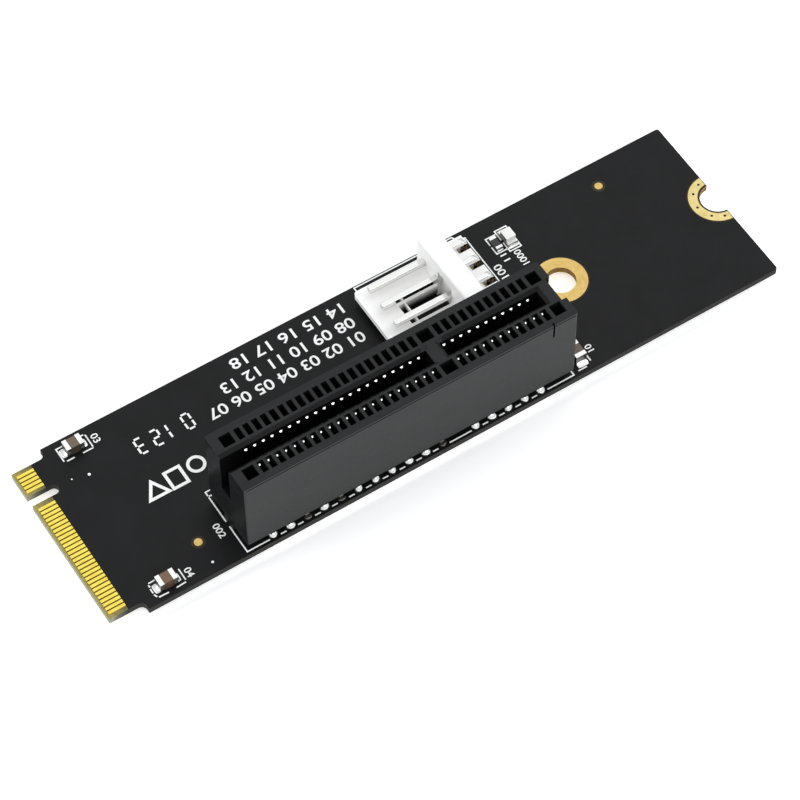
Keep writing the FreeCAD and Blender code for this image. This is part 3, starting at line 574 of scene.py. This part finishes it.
class Shape:
    """Points and faces of one piece, gathered before it becomes an object."""

    def __init__(self):
        self.points = []
        self.faces = []

    def add(self, points, faces):
        start = len(self.points)
        self.points += [tuple(p) for p in points]
        self.faces += [tuple(start + k for k in face) for face in faces]

    def lathe(self, x, y, profile, sides=20, lobes=0, wobble=0.0, turn=0.0, lean=(0.0, 0.0)):
        """Closed turned form; profile is (radius, z) from its foot to its tip."""
        foot = profile[0][1]
        points = []
        for radius, z in profile:
            for k in range(sides):
                angle = 2 * math.pi * k / sides
                reach = radius * (1 + wobble * math.cos(lobes * angle + turn))
                points.append((x + reach * math.cos(angle) + lean[0] * (z - foot),
                               y + reach * math.sin(angle) + lean[1] * (z - foot), z))
        faces = []
        for ring in range(len(profile) - 1):
            for k in range(sides):
                a, b = ring * sides + k, ring * sides + (k + 1) % sides
                faces.append((a, b, b + sides, a + sides))
        last = (len(profile) - 1) * sides
        faces.append(tuple(range(last, last + sides)))
        faces.append(tuple(reversed(range(sides))))
        if profile[-1][1] < foot:
            faces = [tuple(reversed(face)) for face in faces]
        self.add(points, faces)

    def tip(self, spot, reach, tilt, sides=16, rings=10):
        """Coined end of a spring strip: a flattened ball tilted about X.

        The reach is given across the strip, along it, out of its face and back into it.
        """
        lean, rise = math.sin(tilt), math.cos(tilt)
        across, along, out, back = reach

        def place(round_angle, polar):
            p = across * math.sin(polar) * math.cos(round_angle)
            q = along * math.sin(polar) * math.sin(round_angle)
            r = -math.cos(polar) * (out if polar > math.pi / 2 else back)
            return (spot[0] + p, spot[1] + q * rise - r * lean, spot[2] + q * lean + r * rise)

        points = [place(0.0, 0.0)]
        for ring in range(1, rings):
            points += [place(2 * math.pi * k / sides, math.pi * ring / rings) for k in range(sides)]
        points.append(place(0.0, math.pi))
        top = len(points) - 1
        faces = []
        for k in range(sides):
            n = (k + 1) % sides
            faces.append((0, 1 + n, 1 + k))
            for ring in range(rings - 2):
                a, b = 1 + ring * sides, 1 + (ring + 1) * sides
                faces.append((a + k, a + n, b + n, b + k))
            last = 1 + (rings - 2) * sides
            faces.append((last + k, last + n, top))
        self.add(points, faces)

    def tube(self, rings, closed):
        """Four-sided tube through rings of four points, with its ends filled unless it closes."""
        count = len(rings)
        faces = []
        for k in range(count if closed else count - 1):
            a, b = 4 * k, 4 * ((k + 1) % count)
            for m in range(4):
                n = (m + 1) % 4
                faces.append((a + m, a + n, b + n, b + m))
        if not closed:
            end = 4 * (count - 1)
            faces += [(3, 2, 1, 0), (end, end + 1, end + 2, end + 3)]
        self.add([point for ring in rings for point in ring], faces)

    def strip(self, x, path, width, thick):
        """Bent strip of even thickness along a path in the YZ plane."""
        rings = []
        for k, (y, z) in enumerate(path):
            before, after = path[max(k - 1, 0)], path[min(k + 1, len(path) - 1)]
            run, climb = after[0] - before[0], after[1] - before[1]
            length = math.hypot(run, climb)
            off_y, off_z = -climb / length * thick / 2, run / length * thick / 2
            rings.append([(x + across * width / 2, y + turn * off_y, z + turn * off_z)
                          for across, turn in ((-1, -1), (1, -1), (1, 1), (-1, 1))])
        self.tube(rings, closed=False)

    def band(self, path, width, low, high, closed=False):
        """Flat strip of constant width along a path, with mitred corners."""
        count = len(path)
        spots = [Vector(p) for p in path]
        rings = []
        for k, spot in enumerate(spots):
            before = spots[k - 1] if closed or k else None
            after = spots[(k + 1) % count] if closed or k < count - 1 else None
            runs = [(b - a).normalized() for a, b in ((before, spot), (spot, after)) if a and b]
            run = sum(runs, Vector((0, 0))).normalized()
            side = Vector((-run.y, run.x)) * width / 2 / max(MITRE_LIMIT, abs(run.dot(runs[0])))
            if before is None:
                spot = spot - run * width / 2
            if after is None:
                spot = spot + run * width / 2
            left, right = spot + side, spot - side
            rings.append([(*left, low), (*right, low), (*right, high), (*left, high)])
        self.tube(rings, closed)

    def fillet(self, x, y, along, width, reach, height, rows=8, cols=8):
        """Solder that runs down from a chip's end face to its pad.

        (x, y) is the middle of the end face and along the way out of it.
        """
        across = (-along[1], along[0])
        points = []
        for i in range(rows + 1):
            t = i / rows
            crest = FILLET_TOE + (height - FILLET_TOE) * (1 - t) ** FILLET_FALL
            half = width / 2 * (1 - FILLET_NARROWING * t * t)
            for j in range(cols + 1):
                s = 2 * j / cols - 1
                drop = abs(s) ** FILLET_SIDE_POWER * FILLET_SIDE_DROP
                z = FILLET_RIM + (crest - FILLET_RIM) * (1 - drop)
                out = reach * t * (1 - FILLET_ROUNDING * s * s)
                points.append((x + along[0] * out + across[0] * half * s,
                               y + along[1] * out + across[1] * half * s, z))
        foot = len(points)
        points += [(px, py, 0.0) for px, py, pz in points]
        row = cols + 1
        faces = []
        for i in range(rows):
            for j in range(cols):
                a = i * row + j
                faces.append((a, a + row, a + row + 1, a + 1))
                faces.append((foot + a, foot + a + 1, foot + a + row + 1, foot + a + row))
        rim = (list(range(cols)) + [i * row + cols for i in range(rows)]
               + [rows * row + j for j in range(cols, 0, -1)] + [i * row for i in range(rows, 0, -1)])
        for a, b in zip(rim, rim[1:] + rim[:1]):
            faces.append((a, b, foot + b, foot + a))
        self.add(points, faces)

    def mesh(self, name, material):
        mesh = bpy.data.meshes.new(name)
        mesh.from_pydata([tuple(v * MM for v in p) for p in self.points], [], self.faces)
        mesh.validate()
        mesh.materials.append(material)
        return mesh

    def finish(self, name, material, smooth=True, slot=None):
        """Makes the piece, which rides on the card's only body."""
        mesh = self.mesh(name, material)
        if smooth:
            mesh.shade_smooth()
            mesh.set_sharp_from_angle(angle=SHARP_ANGLE)
        piece = bpy.data.objects.new(name, mesh)
        bpy.context.collection.objects.link(piece)
        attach(piece, "root")


# Solder of the slot tails: rows aside from the slot's middle, and (radius, height) profiles
TAIL_ROWS = {"front_outer": -3.25, "front_inner": -1.25, "rear_inner": 1.25, "rear_outer": 3.25}
OUTER_TAILS = LONG_RUN[::2] + SHORT_RUN[1::2]
INNER_TAILS = LONG_RUN[1::2] + SHORT_RUN[::2]
SCANT_JOINTS = (2, 4, 10)
SCANT_TALL, SCANT_WIDE = 0.22, 0.86
FRONT_SHIFT = 0.08
ANY_TURN = (0, 6.28)
DOME = ((0.54, 0.0), (0.54, 0.04), (0.51, 0.14), (0.45, 0.27), (0.36, 0.39), (0.25, 0.48),
        (0.12, 0.53))
TAIL_CONE = ((0.62, 0.0), (0.60, 0.05), (0.50, 0.13), (0.40, 0.27), (0.33, 0.45), (0.28, 0.64),
             (0.22, 0.80), (0.10, 0.86))


def solder_slot_tails():
    """Domes round the slot's tails, a few of them scant and dull, and cones below the board."""
    cones, dull_joints = Shape(), Shape()
    for row, aside in TAIL_ROWS.items():
        joints = Shape()
        front = row == "front_outer"
        y = SLOT_Y + aside
        for k, x in enumerate(OUTER_TAILS if "outer" in row else INNER_TAILS):
            scant = front and k in SCANT_JOINTS
            tall = SCANT_TALL if scant else rng.uniform(0.9, 1.12)
            wide = SCANT_WIDE if scant else rng.uniform(0.92, 1.05)
            joint = dull_joints if scant else joints
            joint.lathe(x + rng.uniform(-0.03, 0.03), y - (FRONT_SHIFT if front else 0.0),
                        [(r * wide, z * tall) for r, z in DOME], sides=24,
                        lobes=rng.choice((2, 3, 3)), wobble=rng.uniform(0.02, 0.07),
                        turn=rng.uniform(*ANY_TURN),
                        lean=(rng.uniform(-0.1, 0.1), rng.uniform(-0.05, 0.12)))
            cone = [(r * rng.uniform(0.97, 1.03), BOARD_LOW.z - z) for r, z in TAIL_CONE]
            cones.lathe(x, y, cone, sides=18, lobes=2, wobble=0.04, turn=rng.uniform(*ANY_TURN))
        joints.finish(f"solder_{row}", SOLDER, slot="tin_terminal")
    cones.finish("solder_underside_slot", SOLDER, slot="tin_terminal")
    dull_joints.finish("solder_dull_joints", DULL_SOLDER, slot="tin_terminal")


# Contact tips: a bump under the lip of the card gap, and a bent stem with an end in the cavity
TIP_TILT = math.radians(30)
BUMP_X, BUMP_ASIDE, BUMP_Z = -0.13, 0.86, 10.26
BUMP_REACH = (0.18, 0.19, 0.035, 0.42)
STEM_X, STEM_WIDTH, STEM_THICK = 0.02, 0.26, 0.1
STEM = [(1.21, 9.55), (1.28, 9.86), (1.55, 10.18), (1.61, 10.60)]
STEM_END_ASIDE, STEM_END_Z = STEM[-1][0], STEM[-1][1] + 0.04
STEM_END_REACH = (0.16, 0.15, 0.05, 0.08)


def contact_tips(name, side):
    """Rounded tips of one row of slot contacts."""
    tips = Shape()
    for x in LONG_RUN + SHORT_RUN:
        tips.tip((x + BUMP_X, SLOT_Y + side * BUMP_ASIDE, BUMP_Z), BUMP_REACH, side * TIP_TILT)
        path = [(SLOT_Y + side * aside, height) for aside, height in STEM]
        tips.strip(x + STEM_X, path, STEM_WIDTH, STEM_THICK)
        tips.tip((x + STEM_X, SLOT_Y + side * STEM_END_ASIDE, STEM_END_Z), STEM_END_REACH,
                 -side * TIP_TILT)
    tips.finish(name, TIP_METAL, slot="contact_metal")


PIN_PITCH = 2.5
PIN_CONE = ((0.95, 0.0), (0.93, 0.05), (0.80, 0.14), (0.66, 0.32), (0.56, 0.56), (0.48, 0.78),
            (0.30, 0.88))
PIN_COLLAR = ((0.60, 0.05), (0.59, 0.07), (0.54, 0.12), (0.50, 0.20), (0.47, 0.28), (0.30, 0.32))


def solder_header_pins():
    """Collars on the pads of the power header, and cones below the board."""
    low, high = corners("power_pin_pads")
    pad_radius = (high.x - low.x) / 2
    x = low.x + pad_radius
    collars, cones = Shape(), Shape()
    for k in range(4):
        y = low.y + pad_radius + PIN_PITCH * k
        collars.lathe(x, y, PIN_COLLAR, sides=24, lobes=4, wobble=0.03,
                      turn=rng.uniform(*ANY_TURN))
        cones.lathe(x, y, [(r, BOARD_LOW.z - z) for r, z in PIN_CONE], sides=24, lobes=3,
                    wobble=0.03, turn=rng.uniform(*ANY_TURN))
    collars.finish("solder_pin_collars", SOLDER, slot="tin_terminal")
    cones.finish("solder_underside_pins", SOLDER, slot="tin_terminal")


# Solder at the chip ends: the way out of an end, and the solder's width, reach and height there
CHIP_SOLDER = {
    "rear_capacitor_terminals": {TO_TIP: (1.1, 0.52, 0.26), TO_END: (1.0, 0.44, 0.26)},
    "front_capacitor_terminals": {TO_TIP: (1.1, 0.52, 0.26), TO_END: (1.0, 0.44, 0.26)},
    "slot_capacitor_terminals": {TO_FRONT: (1.3, 0.58, 0.26), TO_REAR: (1.3, 0.58, 0.26)},
    "resistor_terminals": {TO_FRONT: (0.78, 0.12, 0.2), TO_REAR: (0.78, 0.12, 0.2)},
    "diode_terminals": {TO_FRONT: (1.25, 0.30, 0.34), TO_REAR: (1.25, 0.30, 0.34)},
}


def solder_chips():
    fillets = Shape()
    for name, ends in CHIP_SOLDER.items():
        low, high = corners(name)
        spot, half = (low + high) / 2, (high - low) / 2
        for way, size in ends.items():
            fillets.fillet(spot.x + way[0] * half.x, spot.y + way[1] * half.y, way, *size)
    fillets.finish("solder_chip_fillets", SOLDER, slot="tin_terminal")


def arc(x, y, radius, start, stop, steps):
    """Points on a circle from one angle to another, in degrees."""
    turns = [math.radians(start + (stop - start) * k / steps) for k in range(steps + 1)]
    return [(x + radius * math.cos(turn), y + radius * math.sin(turn)) for turn in turns]


def circle(x, y, radius, sides):
    return arc(x, y, radius, 0, 360, sides)[:-1]


# Print: ink sinks a little into the mask and stands a little above it
INK_LOW, INK_HIGH = -0.004, 0.018
OUTLINE_WIDTH = 0.15
DASH_INSET = 0.75
OUTLINES = {
    "rear_capacitor": [
        [(6.0, 10.13), (5.25, 10.13), (5.25, 8.5)],
        [(5.6, 8.31), (6.33, 8.31)],
        [(7.85, 10.2), (8.38, 10.2)],
        [(8.6, 10.03), (8.6, 8.5)],
        [(8.5, 8.31), (7.46, 8.31)],
    ],
    "front_capacitor": [
        [(6.0, -8.45), (5.36, -8.47)],
        [(5.2, -8.72), (5.2, -8.86)],
        [(5.14, -9.18), (5.14, -9.6)],
        [(5.16, -9.92), (5.25, -10.16)],
        [(5.48, -10.37), (6.44, -10.4)],
        [(8.63, -8.7), (8.63, -10.0)],
        [(8.46, -10.3), (7.5, -10.35)],
    ],
    "slot_capacitor": [
        [(55.1, -6.95), (56.94, -6.95), (56.94, -8.2)],
        [(56.94, -9.1), (56.94, -9.97)],
        [(56.12, -10.43), (55.22, -10.43)],
    ],
    "resistor": [
        [(56.23, 7.76), (56.23, 8.64), (57.4, 8.64)],
        [(56.23, 7.38), (56.23, 6.41), (57.5, 6.41)],
    ],
    "diode": [
        [(57.6, 7.76), (57.6, 9.0), (59.03, 9.0), (59.03, 8.0)],
        [(57.6, 7.26), (57.6, 5.98), (59.0, 5.98), (59.0, 7.3)],
    ],
    "slot": [
        [(15.95, -2.4), (15.4, -2.4), (15.4, -6.4)],
        [(15.4, -3.0), (15.9, -3.0)],
        [(15.4, -7.2), (15.4, -10.6), (17.95, -10.6)],
        [(51.3, -10.6), (54.49, -10.6), (54.49, -10.05)],
    ],
    "header": [
        [(41.25, 9.9), (41.25, 10.8), (53.35, 10.8), (53.7, 10.2), (54.53, 10.02), (54.53, 0.0)],
    ],
}


def print_outlines():
    """Outlines round the parts, and the dashes between the solder joints in front of the slot."""
    outlines = Shape()
    for paths in OUTLINES.values():
        for path in paths:
            outlines.band(path, OUTLINE_WIDTH, INK_LOW, INK_HIGH)
    for left, right in zip(OUTER_TAILS, OUTER_TAILS[1:]):
        dash = [(left + DASH_INSET, SLOT_LOW.y), (right - DASH_INSET, SLOT_LOW.y)]
        outlines.band(dash, OUTLINE_WIDTH, INK_LOW, INK_HIGH)
    outlines.finish("print_outlines", INK, smooth=False)


# Segment digits: the ends of the seven bars, and the bars that each digit shows
BARS = {
    "top": ((-0.5, 1.0), (0.5, 1.0)),
    "middle": ((-0.5, 0.0), (0.5, 0.0)),
    "bottom": ((-0.5, -1.0), (0.5, -1.0)),
    "left_high": ((-0.5, 0.0), (-0.5, 1.0)),
    "left_low": ((-0.5, -1.0), (-0.5, 0.0)),
    "right_high": ((0.5, 0.0), (0.5, 1.0)),
    "right_low": ((0.5, -1.0), (0.5, 0.0)),
}
DIGIT_BARS = {
    "0": ("top", "bottom", "left_high", "left_low", "right_high", "right_low"),
    "1": ("right_high", "right_low"),
    "2": ("top", "right_high", "middle", "left_low", "bottom"),
    "3": ("top", "right_high", "middle", "right_low", "bottom"),
}
DIGIT_PLACES = {"0": 18.25, "1": 16.42, "2": 14.58, "3": 12.75}
DIGIT_Y = 5.9
DIGIT_WIDTH, DIGIT_HALF_HEIGHT = 0.86, 0.94
BAR_WIDTH, BAR_TRIM = 0.22, 0.23

# Plain shapes, and specks given by place and radius; the speck at (4.88, 6.18) is a painted highlight
# on the tented via there
SHAPE_LINE = 0.34
RING = circle(16.35, 1.0, 0.86, 48)
SQUARE = [(13.0, -0.35), (14.7, -0.35), (14.7, 1.75), (13.0, 1.75)]
TRIANGLE = [(10.3, -0.3), (12.5, -0.3), (11.4, 1.6)]
SPECKS_AND_HIGHLIGHT = ((6.65, 5.75, 0.16), (4.88, 6.18, 0.09), (11.9, -9.75, 0.14))


def print_marks():
    """Segment digits, read from the card's rear side, with three plain shapes, some specks and a
    painted highlight on one via.
    """
    marks = Shape()
    for digit, x in DIGIT_PLACES.items():
        for bar in DIGIT_BARS[digit]:
            start, stop = [Vector((x - across * DIGIT_WIDTH, DIGIT_Y - up * DIGIT_HALF_HEIGHT))
                           for across, up in BARS[bar]]
            trim = (stop - start).normalized() * BAR_TRIM
            marks.band([start + trim, stop - trim], BAR_WIDTH, INK_LOW, INK_HIGH)
    for outline in (RING, SQUARE, TRIANGLE):
        marks.band(outline, SHAPE_LINE, INK_LOW, INK_HIGH, closed=True)
    # The small speck over the via at (4.9, 6.1) is a painted highlight
    for x, y, radius in SPECKS_AND_HIGHLIGHT:
        marks.lathe(x, y, ((radius, INK_LOW), (radius, INK_HIGH)), sides=14)
    marks.finish("print_marks", INK, smooth=False)


# Plain numbers: text, start, reading way, upward way, length and height
NUMBERS = [
    ("01 02 03 04 05 06 07", (39.0, 5.93), TO_TIP, TO_FRONT, 18.6, 1.35),
    ("08 09 10 11 12 13", (39.0, 7.97), TO_TIP, TO_FRONT, 15.9, 1.35),
    ("14 15 16 17 18", (38.9, 10.05), TO_TIP, TO_FRONT, 13.5, 1.35),
    ("03", (8.93, 9.75), TO_FRONT, TO_END, 1.1, 0.78),
    ("04", (8.95, -8.95), TO_FRONT, TO_END, 1.1, 0.78),
    ("002", (13.92, -6.12), TO_FRONT, TO_END, 1.75, 0.76),
    ("11", (56.37, 6.05), TO_FRONT, TO_END, 0.92, 0.74),
    ("0001", (57.8, 5.76), TO_FRONT, TO_END, 2.06, 0.8),
    ("001", (54.9, 5.26), TO_FRONT, TO_END, 1.86, 0.92),
    ("01", (57.3, -8.2), TO_FRONT, TO_END, 0.9, 0.74),
]
FONT_OFFSET, FONT_EXTRUDE = 0.012, 0.01


def number(text, start, along, up, length, height):
    """Points and faces of a line of plain digits, fitted to a length and a height."""
    curve = bpy.data.curves.new("digits", "FONT")
    curve.body = text
    curve.offset = FONT_OFFSET
    curve.extrude = FONT_EXTRUDE
    holder = bpy.data.objects.new("digits", curve)
    bpy.context.collection.objects.link(holder)
    mesh = bpy.data.meshes.new_from_object(
        holder.evaluated_get(bpy.context.evaluated_depsgraph_get()))
    spots = [v.co.copy() for v in mesh.vertices]
    low = [min(p[k] for p in spots) for k in range(3)]
    high = [max(p[k] for p in spots) for k in range(3)]
    points = []
    for p in spots:
        s = (p.x - low[0]) / (high[0] - low[0]) * length
        t = (p.y - low[1]) / (high[1] - low[1]) * height
        z = INK_HIGH if p.z > (low[2] + high[2]) / 2 else INK_LOW
        points.append((start[0] + along[0] * s + up[0] * t, start[1] + along[1] * s + up[1] * t, z))
    faces = [tuple(face.vertices) for face in mesh.polygons]
    bpy.data.objects.remove(holder)
    bpy.data.curves.remove(curve)
    bpy.data.meshes.remove(mesh)
    return points, faces


def print_digits():
    figures = Shape()
    for line in NUMBERS:
        figures.add(*number(*line))
    figures.finish("print_digits", INK, smooth=False)


# Mask-covered vias, as places and one (radius, height) profile
TENTED_VIAS = [(3.4, -2.75), (3.4, -4.25), (3.4, 4.7), (4.6, 5.4), (4.9, 6.1), (4.7, 10.3)]
VIA_PROFILE = ((0.34, -0.004), (0.33, 0.010), (0.27, 0.018), (0.16, 0.014), (0.05, 0.006))


def tented_vias():
    vias = Shape()
    for x, y in TENTED_VIAS:
        vias.lathe(x, y, VIA_PROFILE)
    vias.finish("tented_vias", BOARD, slot="board_mask")


# Bare rims of the mask openings: middle radius and width, with start angle and top at the notch
RIM_LOW, RIM_HIGH = -0.004, 0.004
FIDUCIAL_RADIUS = 0.45
FIDUCIAL_RIM = (0.6, 0.28)
HOLE_RIM = (2.95, 0.14)
NOTCH_RIMS = ((3.17, 0.14, 93, RIM_HIGH), (1.97, 0.2, 95, 0.056))


def mask_openings():
    """Rims round the fiducials, the screw hole's ring and the half ring of the end notch."""
    rims = Shape()
    low, high = corners("fiducial_marks")
    radius, width = FIDUCIAL_RIM
    for x, y in ((low.x + FIDUCIAL_RADIUS, low.y + FIDUCIAL_RADIUS),
                 (high.x - FIDUCIAL_RADIUS, high.y - FIDUCIAL_RADIUS)):
        rims.band(circle(x, y, radius, 36), width, RIM_LOW, RIM_HIGH, closed=True)
    radius, width = HOLE_RIM
    rims.band(circle(HOLE_X, 0, radius, 72), width, RIM_LOW, RIM_HIGH, closed=True)
    for radius, width, start, top in NOTCH_RIMS:
        rims.band(arc(NOTCH_X, 0, radius, start, 360 - start, 40), width, RIM_LOW, top)
    rims.finish("mask_openings", RIM, smooth=False)


solder_slot_tails()
contact_tips("contact_tips_front", -1)
contact_tips("contact_tips_rear", 1)
solder_header_pins()
solder_chips()
print_outlines()
print_marks()
print_digits()
tented_vias()
mask_openings()


# Studio

FLOOR_HALF = 1500
WORLD_COLOUR = (0.97, 0.985, 1.0, 1.0)
WORLD_STRENGTH = 0.76
LIGHT_TARGET = Vector((0.04, 0.0, 0.0))
LIGHT_DISTANCE = 0.6


def studio_floor():
    sheet = Shape()
    sheet.add([(x * FLOOR_HALF, y * FLOOR_HALF, FLOOR_Z)
               for x, y in ((-1, -1), (1, -1), (1, 1), (-1, 1))], [(0, 1, 2, 3)])
    floor = bpy.data.objects.new("studio_floor", sheet.mesh("studio_floor", floor_look()))
    bpy.context.collection.objects.link(floor)


def studio_world():
    world = bpy.data.worlds.new("studio")
    world.use_nodes = True
    backdrop = world.node_tree.nodes["Background"]
    backdrop.inputs["Color"].default_value = WORLD_COLOUR
    backdrop.inputs["Strength"].default_value = WORLD_STRENGTH
    bpy.context.scene.world = world


def softbox(name, way, size, power):
    """Square lamp that faces the card, with its size in metres and its power in watts."""
    lamp = bpy.data.lights.new(name, "AREA")
    lamp.shape = "SQUARE"
    lamp.size = size
    lamp.energy = power
    holder = bpy.data.objects.new(name, lamp)
    way = Vector(way).normalized()
    holder.location = LIGHT_TARGET + way * LIGHT_DISTANCE
    holder.rotation_euler = way.to_track_quat("Z", "Y").to_euler()
    bpy.context.collection.objects.link(holder)


studio_floor()
studio_world()
softbox("overhead_softbox", (0.3, 0.4, 1.0), 0.6, 0.50)
softbox("front_softbox", (0.0, -0.6, 0.8), 0.5, 1.15)
softbox("right_softbox", (1.0, -0.1, 0.75), 0.3, 0.6)
softbox("left_softbox", (-1.0, 0.15, 0.55), 0.4, 0.95)

# Camera fitted to the photograph: turn as axis times angle, then shift in millimetres
TURN = Vector((2.47168245, -0.721062778, 0.209179663))
SHIFT = Vector((-33.8142088, 14.5293711, 328.600632))
FOCAL_PIXELS = 3309.19
FRAME_PIXELS = 800
SENSOR_WIDTH = 36.0


def photo_camera():
    lens = bpy.data.cameras.new("camera")
    lens.sensor_width = SENSOR_WIDTH
    lens.lens = FOCAL_PIXELS / FRAME_PIXELS * SENSOR_WIDTH
    lens.clip_start = 0.01
    lens.clip_end = 20.0
    camera = bpy.data.objects.new("camera", lens)
    turn = Matrix.Rotation(TURN.length, 3, TURN.normalized())
    facing = Matrix((turn[0], -turn[1], -turn[2])).transposed().to_4x4()
    camera.matrix_world = Matrix.Translation(-(turn.transposed() @ SHIFT) * MM) @ facing
    bpy.context.collection.objects.link(camera)
    bpy.context.scene.camera = camera


photo_camera()
bpy.context.scene.view_settings.view_transform = "Standard"
